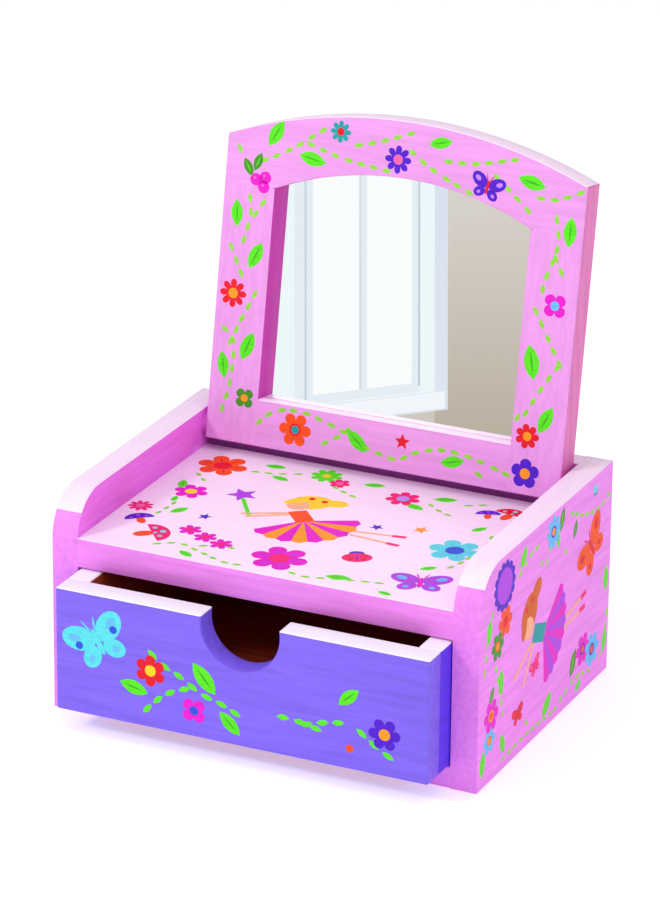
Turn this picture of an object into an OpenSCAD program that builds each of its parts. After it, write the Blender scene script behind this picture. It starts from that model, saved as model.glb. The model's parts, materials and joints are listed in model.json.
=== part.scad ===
// Wooden jewellery box with one drawer and an arched mirror that tilts on two
// pins between the raised side panels.
// Origin: centre of the case on the surface it stands on.
// X runs to the right, Y to the back, Z up. Millimetres.

/* [Case] */
// Overall width of the case
case_w = 180; // [140:1:240]
// Depth of the case, front to back
case_d = 130; // [100:1:170]
// Height of the two side panels
side_h = 89; // [78:1:130]
// Thickness of a side panel
side_t = 11; // [9:0.5:15]
// Radius of a side panel's top front corner
corner_r = 18; // [4:1:30]
// Thickness of the deck board
deck_t = 12; // [8:0.5:16]
// Thickness of the bottom board
bottom_t = 9; // [7:0.5:14]
// Thickness of the back panel
back_t = 9; // [7:0.5:14]
// Slot left open between the deck and the back panel
deck_slot = 9; // [4:0.5:14]

/* [Drawer] */
// Thickness of the drawer front
front_t = 10.5; // [8:0.5:14]
// Thickness of the drawer's side walls
wall_t = 9.5; // [7:0.5:12]
// Thickness of the drawer's back wall
rear_t = 8; // [7:0.5:12]
// Thickness of the drawer's bottom panel
panel_t = 3; // [2:0.5:5]
// Depth of the grooves that hold the bottom panel
groove = 4; // [2:0.5:5]
// Height of the grooves above the drawer's underside
groove_up = 4; // [3:0.5:8]
// Radius of the finger notch
notch_r = 16.5; // [8:0.5:22]
// Centre of the finger notch below the drawer's top edge
notch_drop = 3.2; // [0:0.2:6]
// How far the drawer stands open at rest
drawer_out = 19.5; // [0:0.5:60]

/* [Mirror] */
// Height of the mirror frame at its corners
frame_h = 124.5; // [90:0.5:180]
// Thickness of the mirror frame
frame_t = 13; // [11:0.5:18]
// Rise of the frame's arched top edge
arch_rise = 15; // [4:0.5:25]
// Width of the stiles
stile_w = 22.1; // [18:0.5:30]
// Height of the top rail at its ends
top_rail_h = 19.7; // [14:0.1:28]
// Height of the bottom rail
bottom_rail_h = 19.3; // [17:0.1:28]
// Rise of the window's arched top
window_rise = 12; // [3:0.5:20]
// Thickness of the frame in front of the glass
lip_t = 6.8; // [4:0.1:8]
// Thickness of the mirror glass
glass_t = 3; // [2:0.1:4]
// How far the glass reaches behind the frame
glass_lap = 5; // [3:0.5:7]
// How far the backboard reaches past the glass
board_lap = 6; // [5:0.5:8]
// Backward lean of the mirror at rest, in degrees
lean = 9.7; // [4:0.1:14]

/* [Pivot] */
// Diameter of the pivot pins
pin_d = 4; // [3:0.5:5]
// Centre of the pins below the side panels' top edge
pin_drop = 6.5; // [4:0.5:10]
// Centre of the pins above the mirror frame's bottom edge
pin_up = 5.5; // [5:0.1:11]
// Centre of the pins behind the mirror frame's face
pin_back = 5.5; // [5:0.1:8]
// Bevel along the frame's lower back edge, which swings past the back panel
ease = 1.5; // [1:0.1:3]
// How far a pin reaches into its stile
pin_reach = 13; // [8:0.5:13]
// Thickness of the spacer washers
washer_t = 1.7; // [1:0.1:5]
// Diameter of the spacer washers
washer_d = 9; // [8:0.5:10]

/* [Joinery] */
// Diameter of the case's dowels
dowel_d = 5; // [4:0.5:6]
// Depth of a dowel in a side panel
dowel_in = 7; // [5:0.5:7]
// Depth of a dowel in the board it carries
dowel_out = 14; // [8:1:20]
// Diameter of the drawer's dowels
peg_d = 4; // [3:0.5:4]
// Diameter of the mirror frame's dowels
frame_dowel_d = 3.5; // [2.5:0.5:4]
// Half the length of the mirror frame's dowels
frame_dowel_half = 6; // [4:0.5:6]
// Diameter of the backboard screws' heads
screw_head_d = 4.2; // [3.5:0.1:4.6]
// Length of the backboard screws
screw_len = 8; // [6:0.5:8]

/* [Fits] */
// Gap on each side of the drawer
drawer_gap = 0.55; // [0.3:0.05:1]
// Gap under the drawer
under_gap = 0.4; // [0.3:0.05:1]
// Gap above the drawer
over_gap = 0.7; // [0.3:0.05:1.5]
// Gap behind the closed drawer
rear_gap = 3; // [1:0.5:8]
// Radial clearance of the pins in the stiles
pin_fit = 0.05; // [0.02:0.01:0.1]
// Gap between a washer and its stile
washer_gap = 0.2; // [0.1:0.05:0.5]
// Gap between the leaning mirror and the back panel's edge
rest_gap = 0.1; // [0.05:0.05:0.5]
// Gap between the deck and the swinging frame's corners
swing_gap = 1; // [0.5:0.1:3]
// Play around the glass, the backboard and the drawer's bottom panel
panel_play = 0.3; // [0.1:0.1:0.8]

/* [Hidden] */
$fn = 64;

// Case
half_w = case_w / 2;
inner_half = half_w - side_t;
front_y = -case_d / 2;
back_y = case_d / 2 - back_t;
deck_back_y = back_y - deck_slot;

// Pivot: the frame's bottom corners swing just clear of the deck, and the
// leaning frame rests against the back panel's top edge
pivot_z = side_h - pin_drop;
behind_pin = frame_t - pin_back;
swing_r = max(norm([pin_up, pin_back]), norm([pin_up - ease, behind_pin]),
    norm([pin_up, behind_pin - ease]));
deck_z = pivot_z - swing_r - swing_gap;
deck_under_z = deck_z - deck_t;
pivot_y = back_y - (behind_pin + rest_gap + pin_drop * sin(lean)) / cos(lean);

// Drawer
drawer_y = front_y - drawer_out;
drawer_l = case_d - back_t - rear_gap;
drawer_half = inner_half - drawer_gap;
drawer_z = bottom_t + under_gap;
drawer_h = deck_under_z - over_gap - drawer_z;
drawer_mid_half = drawer_half - wall_t;
panel_z = drawer_z + groove_up;

// Mirror, in its own upright frame: X across, Y from its face to its back,
// Z up from its bottom edge
side_gap = washer_t + washer_gap;
frame_half = inner_half - side_gap;
window_half = frame_half - stile_w;
window_h = frame_h - top_rail_h;
arch_r = frame_half * frame_half / (2 * arch_rise) + arch_rise / 2;
arch_z = frame_h + arch_rise - arch_r;
window_r = window_half * window_half / (2 * window_rise) + window_rise / 2;
window_z = window_h + window_rise - window_r;
board_y = lip_t + glass_t;
pin_bore_r = pin_d / 2 + pin_fit;
pin_tip_x = frame_half - pin_reach;
dowel_front_y = lip_t / 2;

// ---- shapes used more than once ----

// A box from its lowest corner to its highest corner
module block(low, high) {
    translate(low) cube(high - low);
}

// A peg along X from x0 to x1
module peg_x(x0, x1, y, z, d) {
    translate([x0, y, z]) rotate([0, 90, 0]) cylinder(d = d, h = x1 - x0);
}

// The same thing on the left and on the right
module both_sides() {
    for (side = [-1, 1]) scale([side, 1, 1]) children();
}

// Places for three dowels spread between two ends
function spread(low, high, inset) =
    [low + inset, (low + high) / 2, high - inset];

// A window-shaped plate: upright sides, flat foot and an arched top. more
// widens it evenly all round.
module arched_plate(y0, y1, more) {
    translate([0, y1, 0]) rotate([90, 0, 0]) linear_extrude(y1 - y0)
        intersection() {
            translate([-window_half - more, bottom_rail_h - more])
                square([2 * (window_half + more), frame_h]);
            translate([0, window_z])
                circle(r = window_r + more, $fn = 180);
        }
}

// ---- dowels, which also cut their own holes ----

module deck_dowel_set() {
    for (y = spread(front_y, deck_back_y, case_d / 7))
        both_sides() peg_x(inner_half - dowel_out, inner_half + dowel_in,
            y, deck_z - deck_t / 2, dowel_d);
}

module bottom_dowel_set() {
    for (y = spread(front_y, back_y, case_d / 7))
        both_sides() peg_x(inner_half - dowel_out, inner_half + dowel_in,
            y, bottom_t / 2, dowel_d);
}

module back_dowel_set() {
    for (z = spread(0, side_h, side_h / 7))
        both_sides() peg_x(inner_half - dowel_out, inner_half + dowel_in,
            back_y + back_t / 2, z, dowel_d);
}

// Through the drawer front's back face into the side walls, and through the
// side walls' inner faces into the back wall
module drawer_dowel_set() {
    for (part = [0.32, 0.78]) {
        z = drawer_z + drawer_h * part;
        both_sides() {
            translate([drawer_half - wall_t / 2, drawer_y + front_t * 0.4, z])
                rotate([-90, 0, 0]) cylinder(d = peg_d, h = front_t * 2);
            peg_x(drawer_mid_half - wall_t * 1.2, drawer_mid_half + wall_t * 0.6,
                drawer_y + drawer_l - rear_t / 2, z, peg_d);
        }
    }
}

// Two upright dowels at each top corner, and one level dowel at each end of
// the bottom rail
module frame_dowel_set() {
    both_sides() {
        for (place = [[window_half + stile_w * 0.25, dowel_front_y],
                      [window_half + stile_w * 0.78, frame_t / 2]])
            translate([place[0], place[1], window_h - frame_dowel_half])
                cylinder(d = frame_dowel_d, h = 2 * frame_dowel_half);
        for (part = [0.2, 0.76])
            peg_x(window_half - frame_dowel_half, window_half + frame_dowel_half,
                dowel_front_y, bottom_rail_h * part, frame_dowel_d);
    }
}

// ---- placing the mirror ----

// Turns the mirror's own frame back about the pins and sets it on them
module leaning() {
    translate([0, pivot_y, pivot_z]) rotate([-lean, 0, 0])
        translate([0, -pin_back, -pin_up]) children();
}

module pin_hole(side) {
    scale([side, 1, 1])
        peg_x(pin_tip_x - 0.5, frame_half + 1, pin_back, pin_up, 2 * pin_bore_r);
}

// Takes the bevel off the frame's lower back edge
module eased_edge() {
    translate([-half_w, 0, 0]) rotate([90, 0, 90]) linear_extrude(case_w)
        polygon([[frame_t - ease - 1, -1], [frame_t + 1, -1],
            [frame_t + 1, ease + 1]]);
}

// Everything that is cut out behind the frame's lip
module frame_recess() {
    arched_plate(lip_t, frame_t + 1, glass_lap);
    arched_plate(board_y, frame_t + 1, glass_lap + board_lap);
}

// ---- case ----

module side_panel(side) {
    color("orchid") difference() {
        translate([side > 0 ? inner_half : -half_w, 0, 0])
            rotate([90, 0, 90]) linear_extrude(side_t) {
                translate([front_y, 0]) square([case_d, side_h - corner_r]);
                translate([front_y + corner_r, 0])
                    square([case_d - corner_r, side_h]);
                translate([front_y + corner_r, side_h - corner_r])
                    circle(r = corner_r, $fn = 96);
            }
        deck_dowel_set();
        bottom_dowel_set();
        back_dowel_set();
        peg_x(-half_w - 1, half_w + 1, pivot_y, pivot_z, pin_d);
    }
}

module left_side() { side_panel(-1); }
module right_side() { side_panel(1); }

module deck() {
    color("mistyrose") difference() {
        block([-inner_half, front_y, deck_under_z],
            [inner_half, deck_back_y, deck_z]);
        deck_dowel_set();
    }
}

module bottom_board() {
    color("plum") difference() {
        block([-inner_half, front_y, 0], [inner_half, back_y, bottom_t]);
        bottom_dowel_set();
    }
}

module back_panel() {
    color("orchid") difference() {
        block([-inner_half, back_y, 0], [inner_half, back_y + back_t, side_h]);
        back_dowel_set();
    }
}

module deck_dowels() { color("burlywood") deck_dowel_set(); }
module bottom_dowels() { color("burlywood") bottom_dowel_set(); }
module back_dowels() { color("burlywood") back_dowel_set(); }

// ---- pivot ----

module pivot_pin(side) {
    color("lightseagreen") scale([side, 1, 1])
        peg_x(pin_tip_x, half_w, pivot_y, pivot_z, pin_d);
}

module spacer(side) {
    color("thistle") scale([side, 1, 1]) difference() {
        peg_x(inner_half - washer_t, inner_half, pivot_y, pivot_z, washer_d);
        peg_x(inner_half - washer_t - 1, inner_half + 1, pivot_y, pivot_z, pin_d);
    }
}

module left_pivot_pin() { pivot_pin(-1); }
module right_pivot_pin() { pivot_pin(1); }
module left_spacer() { spacer(-1); }
module right_spacer() { spacer(1); }

// ---- drawer ----

module drawer_panel(play) {
    reach = drawer_mid_half + groove - play;
    block([-reach, drawer_y + front_t - groove + play, panel_z],
        [reach, drawer_y + drawer_l - rear_t + groove - play, panel_z + panel_t]);
}

module drawer_front() {
    color("mediumpurple") difference() {
        block([-drawer_half, drawer_y, drawer_z],
            [drawer_half, drawer_y + front_t, drawer_z + drawer_h]);
        translate([0, drawer_y - 1, drawer_z + drawer_h - notch_drop])
            rotate([-90, 0, 0]) cylinder(r = notch_r, h = front_t + 2, $fn = 96);
        drawer_dowel_set();
        drawer_panel(0);
    }
}

module drawer_wall(side) {
    color("slateblue") difference() {
        scale([side, 1, 1])
            block([drawer_mid_half, drawer_y + front_t, drawer_z],
                [drawer_half, drawer_y + drawer_l, drawer_z + drawer_h]);
        drawer_dowel_set();
        drawer_panel(0);
    }
}

module drawer_left() { drawer_wall(-1); }
module drawer_right() { drawer_wall(1); }

module drawer_back() {
    color("slateblue") difference() {
        block([-drawer_mid_half, drawer_y + drawer_l - rear_t, drawer_z],
            [drawer_mid_half, drawer_y + drawer_l, drawer_z + drawer_h]);
        drawer_dowel_set();
        drawer_panel(0);
    }
}

module drawer_bottom() { color("slateblue") drawer_panel(panel_play); }
module drawer_dowels() { color("burlywood") drawer_dowel_set(); }

// ---- mirror ----

module mirror_stile(side) {
    color("violet") leaning() difference() {
        scale([side, 1, 1])
            block([window_half, 0, 0], [frame_half, frame_t, window_h]);
        frame_recess();
        frame_dowel_set();
        pin_hole(side);
        eased_edge();
        screw_set(false);
    }
}

module mirror_left_stile() { mirror_stile(-1); }
module mirror_right_stile() { mirror_stile(1); }

module mirror_top_rail() {
    color("violet") leaning() difference() {
        intersection() {
            block([-frame_half, 0, window_h],
                [frame_half, frame_t, frame_h + arch_rise]);
            translate([0, frame_t, arch_z]) rotate([90, 0, 0])
                cylinder(r = arch_r, h = frame_t, $fn = 240);
        }
        arched_plate(-1, frame_t + 1, 0);
        frame_recess();
        frame_dowel_set();
        screw_set(false);
    }
}

module mirror_bottom_rail() {
    color("violet") leaning() difference() {
        block([-window_half, 0, 0], [window_half, frame_t, bottom_rail_h]);
        frame_recess();
        frame_dowel_set();
        eased_edge();
        screw_set(false);
    }
}

module mirror_glass() {
    color("silver") leaning()
        arched_plate(lip_t, board_y, glass_lap - panel_play);
}

module mirror_backboard() {
    color("tan") leaning() difference() {
        arched_plate(board_y, frame_t, glass_lap + board_lap - panel_play);
        screw_set(false);
    }
}

module mirror_dowels() { color("burlywood") leaning() frame_dowel_set(); }

// Countersunk screw, its head flush with the frame's back and its point
// towards the frame's face. The screws themselves have a cross in the head;
// the holes that they make don't.
module screw(cross) {
    head_r = screw_head_d / 2;
    core_r = head_r / 2;
    slot_w = head_r / 4;
    difference() {
        rotate([90, 0, 0]) rotate_extrude($fn = 32)
            polygon([[0, 0], [head_r, 0], [core_r, head_r - core_r],
                [core_r, screw_len - core_r], [0, screw_len]]);
        if (cross)
            for (turn = [0, 90])
                rotate([0, turn, 0])
                    block([-head_r * 0.6, -core_r, -slot_w / 2],
                        [head_r * 0.6, 1, slot_w / 2]);
    }
}

// Screws outside the glass: three up each side, one under and one over it
module screw_set(cross) {
    out = glass_lap + board_lap / 2;
    for (z = spread(bottom_rail_h, window_h, stile_w / 2))
        both_sides() translate([window_half + out, frame_t, z]) screw(cross);
    translate([0, frame_t, bottom_rail_h - out]) screw(cross);
    translate([0, frame_t, window_z + window_r + out]) screw(cross);
}

module backboard_screws() { color("lightgray") leaning() screw_set(true); }

left_side();
right_side();
deck();
bottom_board();
back_panel();
deck_dowels();
bottom_dowels();
back_dowels();
left_pivot_pin();
right_pivot_pin();
left_spacer();
right_spacer();
drawer_front();
drawer_left();
drawer_right();
drawer_back();
drawer_bottom();
drawer_dowels();
mirror_left_stile();
mirror_right_stile();
mirror_top_rail();
mirror_bottom_rail();
mirror_glass();
mirror_backboard();
mirror_dowels();
backboard_screws();
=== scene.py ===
"""Looks of a painted wooden jewellery box: rounded boards, paint over grain,
printed flowers and a mirror in an arched frame. Built around the fixed frame."""

import json
import math

import bmesh
import bpy
from mathutils import Matrix, Vector


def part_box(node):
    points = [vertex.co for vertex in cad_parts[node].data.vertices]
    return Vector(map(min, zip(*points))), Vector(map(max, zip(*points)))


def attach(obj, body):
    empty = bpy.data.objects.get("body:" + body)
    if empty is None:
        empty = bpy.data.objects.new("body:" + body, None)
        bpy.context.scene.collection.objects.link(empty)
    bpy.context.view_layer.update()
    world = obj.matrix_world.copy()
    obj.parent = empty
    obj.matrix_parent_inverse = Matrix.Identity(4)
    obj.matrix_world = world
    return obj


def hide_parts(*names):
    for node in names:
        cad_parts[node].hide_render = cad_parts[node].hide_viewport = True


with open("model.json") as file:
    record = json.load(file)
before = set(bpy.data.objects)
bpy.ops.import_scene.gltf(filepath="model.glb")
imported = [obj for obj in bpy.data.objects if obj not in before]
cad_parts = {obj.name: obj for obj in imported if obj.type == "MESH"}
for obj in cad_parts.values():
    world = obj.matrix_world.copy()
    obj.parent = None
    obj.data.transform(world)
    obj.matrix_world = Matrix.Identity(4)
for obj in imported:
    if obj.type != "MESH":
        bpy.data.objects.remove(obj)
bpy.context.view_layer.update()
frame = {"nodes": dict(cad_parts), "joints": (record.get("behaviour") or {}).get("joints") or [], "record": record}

MM = 0.001
LEAN = math.radians(9.7)
JOINTS = {joint["name"]: joint for joint in frame["joints"]}
PIVOT = Vector(JOINTS["mirror_tilt"]["pos_m"])
PIN_UP = 5.5 * MM
PIN_BACK = 5.5 * MM
STILE_TOP = 104.8 * MM
RAIL_TOP = 19.3 * MM
WINDOW_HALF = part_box("mirror_bottom_rail")[1].x
TOUCH = 0.2 * MM     # a face this near a glued joint counts as lying on it
SQUARE_ON = 0.9      # a normal with this much along an axis faces along it


# ---- paint and other finishes ----

def colour(red, green, blue):
    """A colour given as 0 to 255 on screen, as the shader wants it."""
    def straight(value):
        value /= 255
        return value / 12.92 if value <= 0.04045 else ((value + 0.055) / 1.055) ** 2.4
    return (straight(red), straight(green), straight(blue), 1)


def shade(rgba, factor):
    """The same colour, darker or lighter."""
    return tuple(min(1, channel * factor) for channel in rgba[:3]) + (1,)


def new_material(name):
    """An empty material with its shader, and shorthands for making nodes."""
    material = bpy.data.materials.new(name)
    material.use_nodes = True
    tree = material.node_tree
    shader = tree.nodes["Principled BSDF"]
    shader.inputs["Specular IOR Level"].default_value = 0.3
    return material, tree, shader


def grain_noise(tree, along, stretch, scale, detail):
    """Noise drawn out along the grain, which runs along one axis."""
    place = tree.nodes.new("ShaderNodeTexCoord")
    mapping = tree.nodes.new("ShaderNodeMapping")
    squeeze = [1.0, 1.0, 1.0]
    squeeze["xyz".index(along)] = 1 / stretch
    mapping.inputs["Scale"].default_value = squeeze
    noise = tree.nodes.new("ShaderNodeTexNoise")
    noise.inputs["Scale"].default_value = scale
    noise.inputs["Detail"].default_value = detail
    noise.inputs["Roughness"].default_value = 0.62
    noise.inputs["Distortion"].default_value = 0.35
    tree.links.new(place.outputs["Object"], mapping.inputs["Vector"])
    tree.links.new(mapping.outputs["Vector"], noise.inputs["Vector"])
    return noise


def painted_wood(name, paint, along, show=0.16, rough=0.42):
    """Thin satin paint that lets the grain and the pores show through."""
    material, tree, shader = new_material(name)
    grain = grain_noise(tree, along, stretch=14, scale=420, detail=5)
    cloud = grain_noise(tree, along, stretch=3, scale=38, detail=3)
    streaks = tree.nodes.new("ShaderNodeValToRGB")
    ramp = streaks.color_ramp
    ramp.elements[0].position = 0.30
    ramp.elements[0].color = shade(paint, 1 - show)
    ramp.elements[1].position = 0.70
    ramp.elements[1].color = shade(paint, 1 + show * 0.35)
    tree.links.new(grain.outputs["Fac"], streaks.inputs["Fac"])
    tint = tree.nodes.new("ShaderNodeMix")
    tint.data_type = "RGBA"
    tint.blend_type = "MULTIPLY"
    tint.inputs["Factor"].default_value = 0.55
    clouds = tree.nodes.new("ShaderNodeValToRGB")
    clouds.color_ramp.elements[0].position = 0.35
    clouds.color_ramp.elements[0].color = (0.93, 0.88, 0.93, 1)
    clouds.color_ramp.elements[1].position = 0.65
    clouds.color_ramp.elements[1].color = (1, 1, 1, 1)
    tree.links.new(cloud.outputs["Fac"], clouds.inputs["Fac"])
    tree.links.new(streaks.outputs["Color"], tint.inputs["A"])
    tree.links.new(clouds.outputs["Color"], tint.inputs["B"])
    tree.links.new(tint.outputs["Result"], shader.inputs["Base Color"])
    polish = tree.nodes.new("ShaderNodeMapRange")
    polish.inputs["To Min"].default_value = rough + 0.14
    polish.inputs["To Max"].default_value = rough - 0.06
    tree.links.new(grain.outputs["Fac"], polish.inputs["Value"])
    tree.links.new(polish.outputs["Result"], shader.inputs["Roughness"])
    relief = tree.nodes.new("ShaderNodeBump")
    relief.inputs["Strength"].default_value = 0.35
    relief.inputs["Distance"].default_value = 0.00025
    tree.links.new(grain.outputs["Fac"], relief.inputs["Height"])
    tree.links.new(relief.outputs["Normal"], shader.inputs["Normal"])
    return material


def bare_wood(name, tone, along):
    """Unpainted wood, darker in its late growth."""
    return painted_wood(name, tone, along, show=0.45, rough=0.6)


def printed_ink(name, tone):
    """Printed ink: an even colour with a faint mottle."""
    material, tree, shader = new_material(name)
    mottle = grain_noise(tree, "x", stretch=4, scale=900, detail=3)
    spread = tree.nodes.new("ShaderNodeValToRGB")
    spread.color_ramp.elements[0].position = 0.3
    spread.color_ramp.elements[0].color = shade(tone, 0.86)
    spread.color_ramp.elements[1].position = 0.7
    spread.color_ramp.elements[1].color = shade(tone, 1.08)
    tree.links.new(mottle.outputs["Fac"], spread.inputs["Fac"])
    tree.links.new(spread.outputs["Color"], shader.inputs["Base Color"])
    shader.inputs["Roughness"].default_value = 0.5
    shader.inputs["Specular IOR Level"].default_value = 0.2
    return material


def silvered_glass(name):
    """Mirror glass: bright, smooth, with the faintest unevenness."""
    material, tree, shader = new_material(name)
    shader.inputs["Base Color"].default_value = (0.97, 0.975, 0.98, 1)
    shader.inputs["Metallic"].default_value = 1
    haze = grain_noise(tree, "x", stretch=1, scale=60, detail=2)
    polish = tree.nodes.new("ShaderNodeMapRange")
    polish.inputs["To Min"].default_value = 0.0
    polish.inputs["To Max"].default_value = 0.015
    tree.links.new(haze.outputs["Fac"], polish.inputs["Value"])
    tree.links.new(polish.outputs["Result"], shader.inputs["Roughness"])
    return material


def plated_steel(name):
    """Dull plated steel with fine scratches."""
    material, tree, shader = new_material(name)
    shader.inputs["Base Color"].default_value = (0.72, 0.72, 0.74, 1)
    shader.inputs["Metallic"].default_value = 1
    scratch = grain_noise(tree, "x", stretch=6, scale=1500, detail=2)
    polish = tree.nodes.new("ShaderNodeMapRange")
    polish.inputs["To Min"].default_value = 0.25
    polish.inputs["To Max"].default_value = 0.45
    tree.links.new(scratch.outputs["Fac"], polish.inputs["Value"])
    tree.links.new(polish.outputs["Result"], shader.inputs["Roughness"])
    return material


PINK = colour(241, 137, 242)
FRAME_PINK = colour(232, 156, 230)
# Deeper pink for the inner walls beside the deck: painted shade, as these walls face away from the key light.
PINK_PAINTED_SHADE = colour(255, 124, 250)
# Pale pink for faces that face up: painted highlight for the light from above on the pink paint.
PINK_WITH_PAINTED_TOP_LIGHT = colour(255, 230, 254)
VIOLET = colour(126, 98, 238)
# Deeper violet for the drawer's sides and back: painted shade on the violet paint.
VIOLET_PAINTED_SHADE = colour(90, 54, 236)
# Near-white lilac for the drawer's top edges: painted highlight for the light from above on the violet paint.
LILAC_PAINTED_TOP_LIGHT = colour(248, 245, 255)

pink_x = painted_wood("pink_paint_grain_across", PINK, "x")
pink_y = painted_wood("pink_paint_grain_deep", PINK, "y")
# Inner walls of the side boards: painted shade.
pink_painted_shade_wall = painted_wood("pink_paint_with_painted_shade_inner_wall", PINK_PAINTED_SHADE, "y")
frame_x = painted_wood("frame_paint_grain_across", FRAME_PINK, "x", show=0.12)
frame_z = painted_wood("frame_paint_grain_upright", FRAME_PINK, "z", show=0.12)
# Rose for the frame's right-hand faces: painted shade on the frame pink, for the side away from the key light.
frame_painted_shade_side = painted_wood("frame_paint_with_painted_shade_right_side", colour(228, 118, 190), "z")
# Magenta for the inner walls around the mirror glass: painted shade in the recess of the window.
painted_shade_window_recess = painted_wood("frame_paint_with_painted_shade_in_window", colour(208, 50, 182), "z")
# Faces that face up on the case and frame: painted highlight for the light from above.
pink_painted_top_light = painted_wood("pink_paint_with_painted_top_light", PINK_WITH_PAINTED_TOP_LIGHT, "y", show=0.06)
# The deck's top face: a paler pink paint, with painted highlight for the light from above on top of it.
deck_top_pale_paint_and_painted_highlight = painted_wood("deck_top_pale_paint_and_painted_highlight", colour(255, 229, 252), "x", show=0.04)
violet_x = painted_wood("violet_drawer_front_paint", VIOLET, "x", show=0.2)
# Drawer sides and back: painted shade.
violet_painted_shade_wall = painted_wood("violet_paint_with_painted_shade_drawer_wall", VIOLET_PAINTED_SHADE, "y", show=0.2)
# The drawer's top edges: painted highlight for the light from above.
lilac_painted_top_light = painted_wood("violet_paint_with_painted_top_light", LILAC_PAINTED_TOP_LIGHT, "x", show=0.06)
# Inside of the drawer: bare wood darkened to a deep red-brown, painted shade for the dark inside of the drawer.
drawer_inside_painted_shade = bare_wood("bare_wood_with_painted_shade_drawer_inside", colour(190, 70, 44), "x")
pine = bare_wood("bare_backboard_wood", colour(206, 168, 120), "z")
teal_paint = painted_wood("teal_pin_paint", colour(40, 165, 170), "x")
spacer_paint = painted_wood("spacer_paint", colour(240, 120, 236), "x")
glass_finish = silvered_glass("silvered_glass")
steel = plated_steel("plated_screw_steel")


# ---- boards ----

def long_edges(bm, shortest, least_bend, glued):
    """Edges to round over: the board's own, not those of its small holes and
    not those glued flush to a neighbour."""
    return [edge for edge in bm.edges
            if len(edge.link_faces) == 2
            and edge.calc_face_angle(0) > least_bend
            and edge.calc_length() > shortest
            and not glued(edge)]


def glued_in_frame(edge):
    """True for the edges where the mirror frame's rails and stiles meet."""
    upright = Matrix.Rotation(LEAN, 3, "X")
    for face in edge.link_faces:
        place = upright @ (face.calc_center_median() - PIVOT)
        facing = upright @ face.normal
        if abs(place.z + PIN_UP - STILE_TOP) < TOUCH and abs(facing.z) > SQUARE_ON:
            return True
        if (abs(abs(place.x) - WINDOW_HALF) < TOUCH and abs(facing.x) > SQUARE_ON
                and place.z + PIN_UP < RAIL_TOP):
            return True
    return False


def glued_at_ends(edge):
    """True for the edges of a board's two ends, which butt against the sides."""
    return any(abs(face.normal.x) > SQUARE_ON for face in edge.link_faces)


def glued_beside_deck(edge):
    """True for a side board's inner edges that run along the deck and bottom."""
    inner, deck_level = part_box("deck")[1].x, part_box("deck")[1].z
    return all(abs(abs(vert.co.x) - inner) < 0.05 * MM
               and vert.co.z < deck_level + 0.5 * MM for vert in edge.verts)


def faces_up(face):
    return face.normal.z > 0.6


def faces_right(face):
    return face.normal.x > 0.8


def faces_left(face):
    return face.normal.x < -0.8


def faces_down(face):
    return face.normal.z < -0.7


def faces_front(face):
    return face.normal.y < -0.8


def faces_back(face):
    return face.normal.y > 0.8


# The faces picked here take the painted top light.
def drawer_rim(face):
    """The drawer's top edges, without the hollow of the finger notch."""
    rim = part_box("drawer_front")[1].z
    return face.normal.z > 0.3 and face.calc_center_median().z > rim - 1.2 * MM


def rounded_board(node, finish, others=(), radius=0.9 * MM, glued=lambda edge: False):
    """The CAD board with its edges rounded over. others is a list of (test,
    finish): the first test a face passes gives it that finish."""
    bm = bmesh.new()
    bm.from_mesh(frame["nodes"][node].data)
    bmesh.ops.remove_doubles(bm, verts=bm.verts, dist=1e-6)
    bmesh.ops.dissolve_limit(bm, angle_limit=math.radians(0.5),
                             verts=bm.verts, edges=bm.edges)
    edges = long_edges(bm, shortest=0.6 * MM, least_bend=math.radians(35), glued=glued)
    bmesh.ops.bevel(bm, geom=edges, offset=radius, segments=3, profile=0.5,
                    affect="EDGES", material=-1, clamp_overlap=True)
    bmesh.ops.triangulate(bm, faces=[f for f in bm.faces if len(f.verts) > 4])
    bmesh.ops.recalc_face_normals(bm, faces=bm.faces)
    for face in bm.faces:
        passed = [i for i, (test, _) in enumerate(others) if test(face)]
        face.material_index = passed[0] + 1 if passed else 0
        face.smooth = True
    mesh = bpy.data.meshes.new(node + "_rounded")
    bm.to_mesh(mesh)
    bm.free()
    mesh.materials.append(finish)
    for _, other in others:
        mesh.materials.append(other)
    mesh.set_sharp_from_angle(angle=math.radians(20))
    board = bpy.data.objects.new(node + "_board", mesh)
    bpy.context.scene.collection.objects.link(board)
    body = next(name for name, members in frame["record"]["behaviour"]["bodies"].items()
                if node in members)
    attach(board, body)
    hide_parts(node)
    return board


def refinish(node, finish):
    """Gives a CAD node that keeps its own shape a better finish."""
    mesh = frame["nodes"][node].data
    mesh.materials.clear()
    mesh.materials.append(finish)


# Faces that face up take painted top light; the inward, window, right-hand and drawer-inside faces named below
# take painted shade.
rounded_board("left_side", pink_y, [(faces_up, pink_painted_top_light), (faces_right, pink_painted_shade_wall)],
              glued=glued_beside_deck)
rounded_board("right_side", pink_y, [(faces_up, pink_painted_top_light), (faces_left, pink_painted_shade_wall)],
              glued=glued_beside_deck)
rounded_board("deck", pink_x, [(faces_up, deck_top_pale_paint_and_painted_highlight)], radius=0.5 * MM,
              glued=glued_at_ends)
rounded_board("bottom_board", pink_x, glued=glued_at_ends)
rounded_board("back_panel", pink_x, [(faces_up, pink_painted_top_light)], glued=glued_at_ends)
rounded_board("drawer_front", violet_x, [(drawer_rim, lilac_painted_top_light), (faces_back, drawer_inside_painted_shade)])
rounded_board("drawer_left", violet_painted_shade_wall, [(drawer_rim, lilac_painted_top_light), (faces_right, drawer_inside_painted_shade)])
rounded_board("drawer_right", violet_painted_shade_wall, [(drawer_rim, lilac_painted_top_light), (faces_left, drawer_inside_painted_shade)])
rounded_board("drawer_back", violet_x, [(drawer_rim, lilac_painted_top_light), (faces_front, drawer_inside_painted_shade)])
rounded_board("mirror_left_stile", frame_z, [(faces_right, painted_shade_window_recess)],
              radius=0.7 * MM, glued=glued_in_frame)
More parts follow.
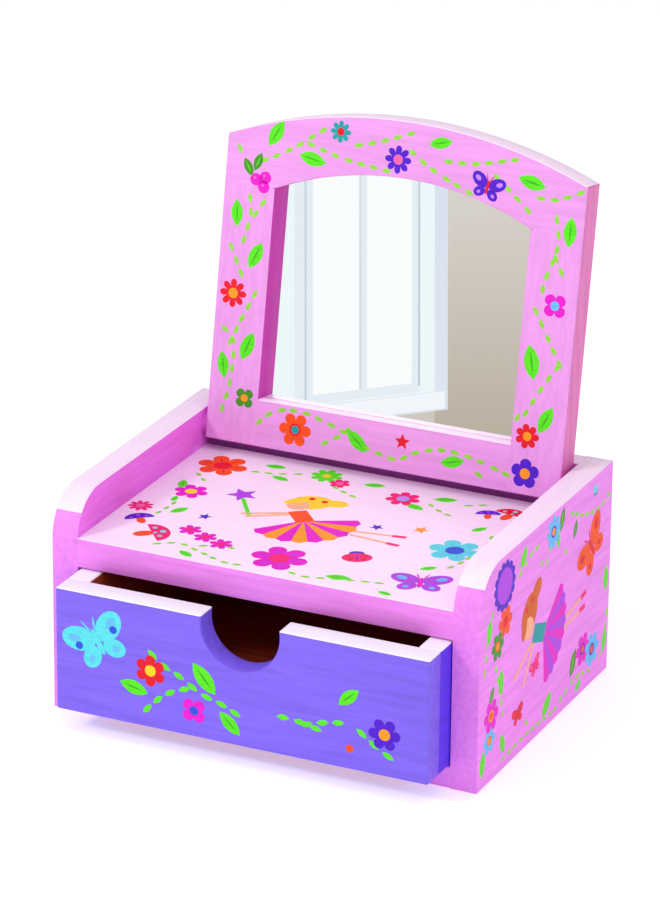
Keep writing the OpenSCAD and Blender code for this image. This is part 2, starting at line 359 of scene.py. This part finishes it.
rounded_board("mirror_right_stile", frame_z,
              [(faces_left, painted_shade_window_recess), (faces_right, frame_painted_shade_side)],
              radius=0.7 * MM, glued=glued_in_frame)
rounded_board("mirror_top_rail", frame_x,
              [(faces_down, painted_shade_window_recess), (faces_up, pink_painted_top_light), (faces_right, frame_painted_shade_side)],
              radius=0.7 * MM, glued=glued_in_frame)
rounded_board("mirror_bottom_rail", frame_x,
              [(faces_up, pink_painted_top_light), (faces_right, frame_painted_shade_side)],
              radius=0.7 * MM, glued=glued_in_frame)
refinish("drawer_bottom", drawer_inside_painted_shade)
refinish("mirror_glass", glass_finish)
refinish("mirror_backboard", pine)
refinish("backboard_screws", steel)
for side in ("left", "right"):
    refinish(side + "_pivot_pin", teal_paint)
    refinish(side + "_spacer", spacer_paint)
for group in ("deck", "bottom", "back", "drawer", "mirror"):
    refinish(group + "_dowels", pine)


# ---- printed pictures ----

INKS = {
    "leaf": colour(88, 226, 20), "lime": colour(140, 216, 58),
    "moss": colour(66, 146, 30), "orange": colour(246, 78, 12),
    "amber": colour(254, 152, 24), "yellow": colour(254, 206, 30),
    "magenta": colour(230, 10, 200), "pink": colour(244, 24, 116),
    "red": colour(226, 8, 34), "rose": colour(250, 100, 170),
    "turquoise": colour(88, 216, 226), "sky": colour(98, 186, 244),
    "blue": colour(44, 80, 214), "violet": colour(78, 16, 200),
    "purple": colour(178, 62, 226), "lilac": colour(196, 128, 244),
    "skin": colour(246, 176, 142), "brown": colour(214, 96, 18),
    "teal": colour(20, 156, 160), "stem": colour(52, 180, 16),
}
INK_NAMES = sorted(INKS)
INK_FINISH = {name: printed_ink("ink_" + name, INKS[name]) for name in INK_NAMES}

SINK = 0.05          # how far a printed shape reaches into its board, mm
LIFT = 0.025         # how far layer 0 stands out, mm
LAYER = 0.01         # how much further each layer stands out, mm
LOWEST_TRAIL = -1.2  # the layer on which the first trail of dashes starts
TRAIL_STEP = 0.1     # what each trail adds to that, in layers
TRAIL_STEPS = 9      # after so many trails the layers start again


def circle_points(u, v, radius, count=20):
    return [(u + radius * math.cos(2 * math.pi * i / count),
             v + radius * math.sin(2 * math.pi * i / count)) for i in range(count)]


def turned(points, u, v, turn):
    """Points about the origin, turned by degrees and moved to (u, v)."""
    c, s = math.cos(math.radians(turn)), math.sin(math.radians(turn))
    return [(u + x * c - y * s, v + x * s + y * c) for x, y in points]


def oval(u, v, wide, high, turn=0, count=18):
    ring = [(wide / 2 * math.cos(2 * math.pi * i / count),
             high / 2 * math.sin(2 * math.pi * i / count)) for i in range(count)]
    return turned(ring, u, v, turn)


def lens(length, width, steps=6):
    """A pointed leaf outline along x, made of two arcs' worth of points."""
    upper = [(-length / 2 + length * i / steps,
              width / 2 * math.sin(math.pi * i / steps) ** 0.8) for i in range(steps)]
    lower = [(length / 2 - length * i / steps,
              -width / 2 * math.sin(math.pi * i / steps) ** 0.8) for i in range(steps)]
    return upper + lower


def petal_ring(radius, petals, depth, power=0.6, count=10):
    """One outline around all the petals of a flower."""
    total = petals * count
    ring = []
    for i in range(total):
        angle = 2 * math.pi * i / total
        reach = 1 - depth + depth * abs(math.cos(petals * angle / 2)) ** power
        ring.append((radius * reach * math.cos(angle), radius * reach * math.sin(angle)))
    return ring


def smooth_path(points, step):
    """Places and headings every step along a smooth curve through points."""
    dense = []
    ends = [points[0]] + list(points) + [points[-1]]
    for a, b, c, d in zip(ends, ends[1:], ends[2:], ends[3:]):
        for i in range(20):
            t = i / 20
            dense.append(tuple(0.5 * (2 * q + (r - p) * t + (2 * p - 5 * q + 4 * r - s) * t * t
                                      + (3 * q - p - 3 * r + s) * t ** 3)
                               for p, q, r, s in zip(a, b, c, d)))
    dense.append(tuple(points[-1]))
    marks, walked = [], step / 2
    for (x0, y0), (x1, y1) in zip(dense, dense[1:]):
        walked += math.hypot(x1 - x0, y1 - y0)
        if walked >= step:
            walked -= step
            marks.append((x1, y1, math.degrees(math.atan2(y1 - y0, x1 - x0))))
    return marks


class Picture:
    """Printed shapes on one flat face, gathered into one closed mesh. Places
    are (across, up) in millimetres; place() sets them on the face."""

    def __init__(self, place):
        self.place = place
        self.bm = bmesh.new()
        self.trails = 0
        self.nudge = 0

    def fill(self, outline, ink, layer=0):
        low = [self.bm.verts.new(self.place(u, v, -SINK)) for u, v in outline]
        face = self.bm.faces.new(low)
        face.material_index = INK_NAMES.index(ink)
        rise = (self.place(0, 0, LIFT + LAYER * (layer + self.nudge))
                - self.place(0, 0, -SINK))
        grown = bmesh.ops.extrude_face_region(self.bm, geom=[face])["geom"]
        bmesh.ops.translate(self.bm, vec=rise,
                            verts=[item for item in grown
                                   if isinstance(item, bmesh.types.BMVert)])

    def disc(self, u, v, radius, ink, layer=0):
        self.fill(circle_points(u, v, radius), ink, layer)

    def leaf(self, u, v, length, turn, ink="leaf", vein="stem"):
        self.fill(turned(lens(length, length * 0.46), u, v, turn), ink, 0)
        self.fill(turned(lens(length * 0.66, length * 0.06), u, v, turn), vein, 1)

    def dashes(self, points, ink="lime", length=4.3, width=1.9, gap=5.7):
        """A trail of small strokes, each trail a hair above the one before."""
        self.trails += 1
        for u, v, turn in smooth_path(points, gap):
            self.fill(turned(lens(length, width, 4), u, v, turn), ink,
                      LOWEST_TRAIL + TRAIL_STEP * (self.trails % TRAIL_STEPS))

    def flower(self, u, v, radius, petals, ink, centre, heart=None, depth=0.42, turn=0,
               veins=None):
        """A flower. Its layers, and those of what follows it, lie a hair off the
        last flower's, so that crossing petals never share a level."""
        self.nudge = (self.nudge + 0.2) % 0.8
        self.fill(turned(petal_ring(radius, petals, depth), u, v, turn), ink, 2)
        self.disc(u, v, radius * 0.36, centre, 3)
        if heart:
            self.disc(u, v, radius * 0.24, heart, 4)
        if veins:
            vein = turned(lens(radius * 0.42, radius * 0.08, 3), radius * 0.58, 0, 0)
            for i in range(petals):
                self.fill(turned(vein, u, v, turn + 360 * i / petals), veins, 3)

    def star(self, u, v, radius, ink, turn=90, points=5):
        outline = []
        for i in range(2 * points):
            reach = radius if i % 2 == 0 else radius * 0.45
            angle = math.radians(turn + 180 * i / points)
            outline.append((u + reach * math.cos(angle), v + reach * math.sin(angle)))
        self.fill(outline, ink, 2)

    def butterfly(self, u, v, size, turn, wing, spot, trunk):
        for side in (-1, 1):
            for x, y, wide, high, lean, ink, layer in (
                    (0.27, 0.15, 0.54, 0.37, 30, wing, 2),
                    (0.20, -0.17, 0.36, 0.28, -38, wing, 3),
                    (0.33, 0.18, 0.2, 0.13, 30, spot, 4),
                    (0.22, -0.19, 0.12, 0.09, -38, spot, 5)):
                self.fill(turned(oval(side * x * size, y * size, wide * size, high * size,
                                      side * lean), u, v, turn), ink, layer)
            self.fill(turned(turned(lens(size * 0.24, size * 0.03, 4), side * 0.07 * size,
                                    0.27 * size, side * 70 + 90 * (1 - side)), u, v, turn),
                      trunk, 4)
        self.fill(turned(oval(0, 0, size * 0.09, size * 0.42), u, v, turn), trunk, 6)

    def toadstool(self, u, v, size, turn, cap, stem, spot):
        half = [(size * 0.5 * math.cos(math.pi * i / 12),
                 size * 0.42 * math.sin(math.pi * i / 12)) for i in range(13)]
        self.fill(turned(oval(0, -0.2 * size, size * 0.3, size * 0.5), u, v, turn), stem, 2)
        self.fill(turned(half, u, v, turn), cap, 3)
        for x, y, r in ((-0.26, 0.13, 0.06), (0, 0.26, 0.075),
                        (0.24, 0.12, 0.06), (0.02, 0.07, 0.045)):
            self.fill(turned(circle_points(x * size, y * size, r * size, 12), u, v, turn), spot, 4)

    def ladybird(self, u, v, size, turn):
        self.fill(turned(oval(0, 0.36 * size, size * 0.5, size * 0.34), u, v, turn), "violet", 2)
        self.fill(turned(oval(0, 0, size, size * 0.72), u, v, turn), "pink", 3)
        self.fill(turned(lens(size * 0.7, size * 0.05, 4), u, v, turn + 90), "violet", 4)
        for x, y in ((-0.28, 0.1), (0.28, 0.1), (-0.2, -0.14), (0.2, -0.14)):
            self.fill(turned(circle_points(x * size, y * size, size * 0.09, 12), u, v, turn),
                      "red", 4)

    def berries(self, u, v, size):
        for x, y in ((-0.5, 0.1), (0.35, 0.35), (0.25, -0.45)):
            self.disc(u + x * size, v + y * size, size * 0.52, "magenta", 2)
            self.disc(u + (x - 0.12) * size, v + (y + 0.14) * size, size * 0.12, "rose", 3)

    def stroke(self, start, end, width, ink, layer=2):
        length = math.hypot(end[0] - start[0], end[1] - start[1])
        turn = math.degrees(math.atan2(end[1] - start[1], end[0] - start[0]))
        middle = ((start[0] + end[0]) / 2, (start[1] + end[1]) / 2)
        bar = [(-length / 2, -width / 2), (length / 2, -width / 2),
               (length / 2, width / 2), (-length / 2, width / 2)]
        self.fill(turned(bar, middle[0], middle[1], turn), ink, layer)

    def dancer(self, u, v, size, turn, skirt, stripe, bodice, hair, fan, legs, arms):
        """A plain leaping dancer in a striped skirt, with no features on the
        face. The waist is at (u, v) and the skirt opens downwards by fan
        degrees. legs and arms are (start, end) pairs in parts of the size."""
        def at(points):
            return turned([(x * size, y * size) for x, y in points], u, v, turn)
        panels = 9
        for i in range(panels):
            a = math.radians(270 - fan / 2 + fan * i / panels)
            b = math.radians(270 - fan / 2 + fan * (i + 1) / panels)
            middle = (a + b) / 2
            self.fill(at([(0, 0), (0.62 * math.cos(a), 0.62 * math.sin(a)),
                          (0.66 * math.cos(middle), 0.66 * math.sin(middle)),
                          (0.62 * math.cos(b), 0.62 * math.sin(b))]),
                      (skirt, stripe)[i % 2], 4)
        for start, end in arms:
            ends = at([start, end])
            self.stroke(ends[0], ends[1], 0.045 * size, "skin", 3)
        for hip, toe in legs:
            ankle = (hip[0] * 0.25 + toe[0] * 0.75, hip[1] * 0.25 + toe[1] * 0.75)
            ends = at([hip, ankle, toe])
            self.stroke(ends[0], ends[1], 0.04 * size, "skin", 3)
            self.stroke(ends[1], ends[2], 0.06 * size, "pink", 3.5)
        self.fill(at([(-0.12, 0.3), (-0.1, -0.04), (0.12, -0.04), (0.1, 0.3)]), bodice, 5)
        self.fill(at(oval(0.2, 0.52, 0.52, 0.4, -12)), hair, 5)
        self.fill(at(oval(0.47, 0.42, 0.3, 0.2, -24)), hair, 4)
        self.fill(at(oval(0.04, 0.47, 0.27, 0.27)), "skin", 6)
        self.fill(at(oval(0.06, 0.61, 0.34, 0.13, 10)), hair, 7)
        for x, y in ((0.24, 0.62), (0.36, 0.5)):
            self.fill(at(circle_points(x, y, 0.04, 10)), "red", 8)

    def finish(self, name, body, slot):
        bmesh.ops.recalc_face_normals(self.bm, faces=self.bm.faces)
        mesh = bpy.data.meshes.new(name)
        self.bm.to_mesh(mesh)
        self.bm.free()
        for ink in INK_NAMES:
            mesh.materials.append(INK_FINISH[ink])
        piece = bpy.data.objects.new(name, mesh)
        bpy.context.scene.collection.objects.link(piece)
        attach(piece, body)
        return piece


# Where each printed face lies
case_low, case_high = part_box("left_side")[0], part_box("right_side")[1]
deck_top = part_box("deck")[1].z
drawer_face_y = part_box("drawer_front")[0].y


def on_deck(u, v, out):
    return Vector((u * MM, v * MM, deck_top + out * MM))


def on_drawer(u, v, out):
    return Vector((u * MM, drawer_face_y - out * MM, v * MM))


def on_right_side(u, v, out):
    return Vector((case_high.x + out * MM, u * MM, v * MM))


def on_left_side(u, v, out):
    return Vector((case_low.x - out * MM, u * MM, v * MM))


def on_mirror(u, v, out):
    """On the leaning frame's face, v up from its bottom edge."""
    upright = Vector((u * MM, -PIN_BACK - out * MM, v * MM - PIN_UP))
    return PIVOT + Matrix.Rotation(-LEAN, 3, "X") @ upright


def print_deck():
    deck = Picture(on_deck)
    for u, v, length, turn in ((-43, 36, 9, 6), (-36, 25.5, 8.5, -14), (0.7, 35.5, 9, 14),
                               (32, 34, 10, 18), (-57, -22, 9, 60), (-35, -60, 8, -28),
                               (27, -55, 10.5, 8), (49, -61, 6.5, -12), (54, -32, 7.5, 42),
                               (56, 12, 7.5, 55), (-68, 3, 9, 110), (24, 22, 9.5, -20),
                               (-64, -12, 6, 100)):
        deck.leaf(u, v, length, turn)
    for path in (((-52, -58), (-42, -52), (-31, -56), (-18, -61), (-8, -60)),
                 ((-35, -52), (-27, -47), (-18, -48)), ((7, -58), (15, -60), (30, -56), (44, -53)),
                 ((60, -30), (63, -21), (65, -3), (63, 9)), ((-51, 27), (-40, 29), (-29, 34)),
                 ((-15, 28), (-8, 24), (-2, 21)), ((27, 28), (35, 22), (42, 19)),
                 ((40, 31), (50, 37)), ((-69, 17), (-62, 10)),
                 ((-62, -13), (-63, -27), (-67, -34))):
        deck.dashes(path)
    deck.flower(-62.5, 27.5, 10.5, 6, "orange", "red", veins="red")
    deck.flower(-61.5, -2.5, 7, 6, "magenta", "yellow")
    deck.flower(-72.5, -24.5, 5.2, 9, "pink", "rose", depth=0.55)
    deck.flower(-0.9, -48.2, 11.5, 6, "magenta", "pink", veins="purple")
    for u, v in ((-44, -38), (-35.5, -42), (-27, -45.5)):
        deck.flower(u, v, 4.8, 6, "magenta", "pink", depth=0.5)
    deck.flower(56, -11.5, 10.5, 6, "turquoise", "blue", veins="sky")
    deck.flower(16.6, 27.6, 7, 7, "pink", "sky", "lilac")
    deck.flower(-20.5, 36, 6.6, 8, "leaf", "lime", "yellow")
    deck.flower(-12.5, 31, 4.4, 6, "pink", "rose")
    deck.star(-45, -23.5, 2.9, "violet")
    deck.star(19.5, -3.5, 2.9, "violet", 70)
    deck.star(36, 1.5, 3.4, "amber", 80)
    deck.toadstool(-67, -36, 12, 40, "violet", "orange", "purple")
    deck.toadstool(-56, -47, 17, -50, "pink", "orange", "turquoise")
    deck.toadstool(53, 27.5, 10, 20, "violet", "orange", "purple")
    deck.toadstool(61, 31, 14, -10, "red", "orange", "turquoise")
    deck.ladybird(25.4, -34.5, 12, 26)
    deck.butterfly(57, -46, 23, 16, "purple", "sky", "magenta")
    deck.star(-41.8, 3.4, 6.6, "purple", 60)
    deck.stroke((-40, 0), (-30, -15), 1.7, "leaf", 2)
    deck.dancer(-8.6, -10.3, size=34, turn=38, skirt="magenta", stripe="amber",
                bodice="orange", hair="yellow", fan=158,
                legs=(((0.46, -0.4), (1.03, -0.72)), ((0.42, -0.5), (0.89, -0.94))),
                arms=(((-0.08, 0.26), (-0.66, 0.36)), ((-0.08, 0.21), (-0.63, 0.27))))
    deck.finish("deck_print", "case", "deck_paint")


def print_drawer():
    front = Picture(on_drawer)
    for u, v, length, turn in ((-44.8, 25.1, 12.5, -14), (-14.9, 34.5, 15, -50),
                               (-4, 18.1, 12, -44), (45.5, 39, 11, 42)):
        front.leaf(u, v, length, turn)
    for path in (((-39.5, 42.5), (-32.5, 36.8), (-25.6, 33.6), (-16, 28), (-7.5, 25.4), (1, 21.6)),
                 ((-41.5, 14.6), (-35.2, 21.4), (-29, 26), (-21, 29.4)),
                 ((15, 25.4), (24.2, 25), (36, 22.6)), ((25, 23.4), (33.5, 26.1), (42, 27.8)),
                 ((48, 27.6), (57, 21), (65, 16.6))):
        front.dashes(path, "leaf", 5.4, 2.4, 6.6)
    front.butterfly(-60, 41, 27, 30, "turquoise", "sky", "turquoise")
    for u, v in ((-68.2, 38), (-53.6, 47.2)):
        front.disc(u, v, 1.6, "blue", 7)
    front.flower(-37.7, 33.3, 6.4, 6, "red", "yellow", depth=0.36, turn=30)
    front.flower(-19.2, 20.4, 5.4, 4, "magenta", "blue", depth=0.46, turn=45)
    front.flower(60.4, 26.6, 6.6, 6, "violet", "amber", depth=0.4)
    front.disc(46.2, 18.1, 1.6, "orange", 2)
    front.finish("drawer_front_print", "drawer", "drawer_front_paint")


def print_side(place, name):
    side = Picture(place)
    for u, v, length, turn in ((13.4, 83, 10, 70), (-24.3, 81.5, 10, 50), (27.2, 73.8, 8, 70),
                               (61, 40.5, 11, 88), (61, 13.5, 10, 75), (-56, 63, 10, 88),
                               (2.5, 9.4, 12, 40), (34.5, 4.5, 7, 20), (-43.7, 37.5, 11, 95),
                               (-41, 11, 10, 110), (-60, 10, 11, 82), (28.7, 16.5, 12, 65),
                               (-52.6, 35.4, 8, 60), (10, 76, 8, 100)):
        side.leaf(u, v, length, turn, "moss" if turn in (65, 60, 70) else "leaf", "lime")
    for path in (((20, 83), (38, 76), (52, 74), (62, 76)), ((-30, 74), (-20, 79), (-8, 81)),
                 ((63, 28), (62, 20), (56, 6)), ((-8, 74), (-2, 70), (2, 76)),
                 ((48, 6), (30, 9), (10, 4), (-9, 5), (-26, 5), (-44, 4)),
                 ((-52, 72), (-58, 58), (-60, 46)), ((-50, 48), (-44, 32), (-40, 20)),
                 ((16, 70), (22, 64)), ((-20, 12), (-14, 7))):
        side.dashes(path)
    side.fill(turned(petal_ring(10.2, 14, 0.16), -42.2, 76.6, 0), "violet", 2)
    side.disc(-42.2, 76.6, 7.2, "purple", 3)
    side.flower(-40.8, 61.5, 6.4, 6, "orange", "red")
    side.flower(-47.9, 54, 5.8, 6, "moss", "orange", "amber")
    side.flower(-52.6, 27.2, 6.8, 6, "magenta", "amber", "orange")
    side.flower(-54, 17.6, 5.6, 6, "sky", "orange", "amber")
    side.flower(4.9, 81, 6.8, 8, "sky", "violet", "amber")
    side.flower(38.5, 18.6, 6.8, 6, "magenta", "violet", "orange")
    side.flower(48, 14.8, 7.2, 7, "sky", "violet", "orange")
    side.butterfly(45, 59.5, 26, 38, "orange", "red", "red")
    side.butterfly(-26.6, 17, 10.5, 8, "red", "pink", "red")
    side.butterfly(-10.5, 31, 10, 20, "pink", "rose", "magenta")
    side.disc(47, 83.5, 1.8, "turquoise", 2)
    side.dancer(-3, 42, size=35, turn=68, skirt="magenta", stripe="purple",
                bodice="teal", hair="brown", fan=126,
                legs=(((0.16, -0.6), (0.48, -1.14)), ((0.05, -0.6), (0.32, -1.18))),
                arms=(((-0.08, 0.24), (-0.6, 0.34)), ((-0.08, 0.28), (-0.54, 0.66))))
    side.finish(name, "case", "case_paint")


def print_mirror():
    ring = Picture(on_mirror)
    for u, v, length, turn in ((-56, 127, 12, 62), (-39.5, 119, 12, -10), (14.5, 133, 10, 14),
                               (54, 123, 12, -12), (71.5, 106, 12, 88), (60.5, 53, 14, 102),
                               (68.5, 31, 12, 66), (31, 8, 10.5, 14), (-10.5, 9.5, 12, -40),
                               (-70.5, 93, 11, 94), (-61, 77, 12, 66), (-61.5, 40, 12.5, 70),
                               (-71.5, 31, 11, 100)):
        ring.leaf(u, v, length, turn)
    for path in (((-73, 121.5), (-70, 117)), ((-63, 114.5), (-50, 121), (-36, 131)),
                 ((-44, 125.5), (-26, 121), (-7, 118.8)), ((-23, 126.4), (-10, 130.4), (6, 136.6)),
                 ((0, 129.4), (13, 121.5), (29, 115)), ((15, 126), (30, 127), (46, 130.8)),
                 ((37, 124.6), (47, 117), (56, 109.6)), ((55, 117.6), (65, 117.8), (75.4, 122.4)),
                 ((65, 113), (67, 100), (63, 86), (62, 79)), ((65, 98), (71.4, 86.4)),
                 ((58.6, 76), (63.6, 68), (73, 52.4)), ((73, 55), (66, 44), (60, 32.6)),
                 ((-66, 102.6), (-64.6, 93), (-67.6, 79.6)), ((-58, 101), (-64, 91)),
                 ((-73.4, 82), (-66, 67.6)), ((-58.6, 64.4), (-64.8, 51), (-70, 38.6)),
                 ((-74.4, 47), (-67.8, 41), (-68, 24), (-70.6, 12.6)),
                 ((-56, 8), (-47, 15.6), (-34, 17), (-16, 12), (-4, 7), (7, 5), (15, 9), (26, 12),
                  (39, 11), (54, 7)),
                 ((-27, 5), (-20, 9), (-14, 14)), ((40, 6), (47, 3)), ((58, 33), (55, 27))):
        ring.dashes(path)
    ring.leaf(-67, 112, 8, 120, "moss", "leaf")
    ring.leaf(-63, 114.6, 8, 70, "moss", "leaf")
    ring.berries(-61, 107, 4.8)
    ring.flower(-28.4, 131.5, 4.4, 8, "teal", "red", depth=0.5)
    ring.flower(-3, 124, 5.6, 8, "violet", "rose", depth=0.5)
    ring.butterfly(35.5, 118.5, 14, -12, "violet", "lilac", "red")
    ring.flower(68, 76.5, 5.2, 4, "magenta", "sky", depth=0.46, turn=45)
    ring.flower(61.5, 23.5, 5, 7, "red", "amber", depth=0.4)
    ring.flower(62, 8.6, 6, 5, "violet", "amber", depth=0.34, turn=90)
    ring.star(9, 12.5, 3.4, "red")
    ring.flower(-37.7, 9.6, 7, 6, "orange", "red", "teal")
    ring.flower(-61, 18.8, 4.4, 4, "moss", "amber", depth=0.5, turn=45)
    ring.flower(-69.5, 60.5, 5.8, 8, "red", "amber", depth=0.5)
    ring.finish("mirror_frame_print", "mirror", "mirror_paint")


print_deck()
print_drawer()
print_side(on_right_side, "right_side_print")
print_side(on_left_side, "left_side_print")
print_mirror()


# ---- studio ----

SLOPE = 0.12         # how steeply the window's level edges run, in the reflection


def glow(name, low, high):
    """Plain light that goes from one tone at the foot to another at the top."""
    material = bpy.data.materials.new(name)
    material.use_nodes = True
    tree = material.node_tree
    tree.nodes.remove(tree.nodes["Principled BSDF"])
    lamp = tree.nodes.new("ShaderNodeEmission")
    place = tree.nodes.new("ShaderNodeTexCoord")
    height = tree.nodes.new("ShaderNodeSeparateXYZ")
    rise = tree.nodes.new("ShaderNodeMapRange")
    rise.inputs["From Min"].default_value = -0.5
    rise.inputs["From Max"].default_value = 0.5
    tones = tree.nodes.new("ShaderNodeValToRGB")
    tones.color_ramp.elements[0].color = low
    tones.color_ramp.elements[1].color = high
    tree.links.new(place.outputs["Object"], height.inputs["Vector"])
    tree.links.new(height.outputs["Y"], rise.inputs["Value"])
    tree.links.new(rise.outputs["Result"], tones.inputs["Fac"])
    tree.links.new(tones.outputs["Color"], lamp.inputs["Color"])
    tree.links.new(lamp.outputs["Emission"], tree.nodes["Material Output"].inputs["Surface"])
    return material


def panel(name, centre, across, up, wide, high, finish):
    """A flat sheet centred on a point, seen only in reflections. Its level
    edges slope, as those of a window seen from one side do."""
    bm = bmesh.new()
    bmesh.ops.create_grid(bm, x_segments=1, y_segments=1, size=0.5)
    for vert in bm.verts:
        vert.co.y -= SLOPE * vert.co.x * wide / high
    mesh = bpy.data.meshes.new(name)
    bm.to_mesh(mesh)
    bm.free()
    mesh.materials.append(finish)
    sheet = bpy.data.objects.new(name, mesh)
    facing = across.cross(up)
    sheet.matrix_world = Matrix.Translation(centre) @ Matrix(
        (across, up, facing)).transposed().to_4x4() @ Matrix.Diagonal((wide, high, 1, 1))
    bpy.context.scene.collection.objects.link(sheet)
    for ray in ("camera", "diffuse", "transmission", "volume_scatter", "shadow"):
        setattr(sheet, "visible_" + ray, False)


def light(name, place, aim, size, power):
    """A white softbox; its size and place are in metres, its power in watts."""
    data = bpy.data.lights.new(name, "AREA")
    data.shape = "RECTANGLE"
    data.size, data.size_y = size
    data.energy = power
    lamp = bpy.data.objects.new(name, data)
    lamp.location = place
    lamp.rotation_euler = (Vector(aim) - Vector(place)).to_track_quat("-Z", "Y").to_euler()
    bpy.context.scene.collection.objects.link(lamp)


def room_in_mirror():
    """The bright window and plain wall that the mirror shows. They stand where
    its reflected view lands, and only reflections see them. Each sheet is
    (name, from, to, foot, top, tone at the foot, tone at the top), in mm."""
    out = Vector((-0.393, -0.919, 0.0)).normalized()   # where the mirror looks
    level = Vector((out.y, -out.x, 0.0))
    roll = math.radians(8.6)
    distance, drop, apart = 0.9, 0.005, 0.5 * MM
    window_edge = -37.7
    across = level * math.cos(roll) - Vector((0, 0, math.sin(roll)))
    up = level * math.sin(roll) + Vector((0, 0, math.cos(roll)))
    middle = PIVOT + out * distance - Vector((0, 0, drop))
    white = colour(253, 255, 255)
    sheets = (
        ("far_wall", -900, 900, -700, 900, colour(196, 188, 176), colour(226, 222, 214)),
        ("near_wall", -140, -30, -60, 110, colour(186, 175, 158), colour(222, 217, 210)),
        ("window_reveal", window_edge, 200, -30, 240,
         colour(226, 233, 244), colour(216, 223, 238)),
        ("window_sill", -36, 200, -29, -19, colour(230, 237, 247), colour(244, 249, 252)),
        ("reveal_light", -30, 200, -18.5, 240, colour(240, 250, 252), colour(238, 251, 253)),
        ("window_frame", -21, 52, -17.5, 240, colour(232, 240, 247), colour(230, 239, 246)),
        ("right_line", -21.4, -20.4, -14, 240, colour(186, 196, 208), colour(200, 210, 220)),
        ("left_line", 45, 46.2, -16, 240, colour(200, 212, 224), colour(206, 217, 228)),
        ("right_pane", -16.6, 9.6, -12, 240, white, white),
        ("left_pane", 14.2, 41.3, -12, 240, white, white),
        ("bar_line", 12.8, 14.2, -12, 240, colour(212, 224, 232), colour(218, 228, 236)),
    )
    for order, (name, start, end, foot, top, low, high) in enumerate(sheets):
        sunk = SLOPE * ((start + end) / 2 - window_edge)
        centre = (middle + across * (start + end) / 2 * MM
                  + up * ((foot + top) / 2 - sunk) * MM - out * order * apart)
        panel(name, centre, across, up, (end - start) * MM, (top - foot) * MM,
              glow(name + "_glow", low, high))


def studio():
    """A pale floor, even air and three softboxes."""
    bm = bmesh.new()
    bmesh.ops.create_grid(bm, x_segments=1, y_segments=1, size=3)
    mesh = bpy.data.meshes.new("floor")
    bm.to_mesh(mesh)
    bm.free()
    floor_finish = bpy.data.materials.new("pale_floor")
    floor_finish.use_nodes = True
    shader = floor_finish.node_tree.nodes["Principled BSDF"]
    shader.inputs["Base Color"].default_value = (0.93, 0.93, 0.93, 1)
    shader.inputs["Emission Color"].default_value = (0.93, 0.93, 0.93, 1)
    shader.inputs["Emission Strength"].default_value = 0.4
    shader.inputs["Roughness"].default_value = 0.8
    mesh.materials.append(floor_finish)
    floor = bpy.data.objects.new("floor", mesh)
    bpy.context.scene.collection.objects.link(floor)
    world = bpy.data.worlds.new("studio_air")
    world.use_nodes = True
    world.node_tree.nodes["Background"].inputs["Color"].default_value = (1, 1, 1, 1)
    world.node_tree.nodes["Background"].inputs["Strength"].default_value = 0.55
    bpy.context.scene.world = world
    light("top_softbox", (0.1, -0.15, 1.1), (0, 0, 0.05), size=(0.9, 0.9), power=3.0)
    light("key_softbox", (-0.85, -1.05, 1.05), (0, 0, 0.08), size=(0.32, 0.32), power=9.5)
    light("side_softbox", (1.2, -0.5, 0.6), (0, 0, 0.08), size=(0.6, 0.6), power=2.6)
    bpy.context.scene.view_settings.view_transform = "Standard"


def camera():
    """A long lens from the right and above, at the box's usual view."""
    azimuth, height, tilt = math.radians(24.94), math.radians(21.58), math.radians(0.57)
    aim, distance = Vector((-2.0, -1.0, 100.5)) * MM, 1.85
    back = Vector((math.sin(azimuth) * math.cos(height),
                   -math.cos(azimuth) * math.cos(height), math.sin(height)))
    data = bpy.data.cameras.new("camera")
    data.lens = 190.95
    data.sensor_width = 36
    data.clip_end = 20
    view = bpy.data.objects.new("camera", data)
    turn = (-back).to_track_quat("-Z", "Y").to_matrix() @ Matrix.Rotation(tilt, 3, "Z")
    view.matrix_world = Matrix.Translation(aim + back * distance) @ turn.to_4x4()
    bpy.context.scene.collection.objects.link(view)
    bpy.context.scene.camera = view


room_in_mirror()
studio()
camera()
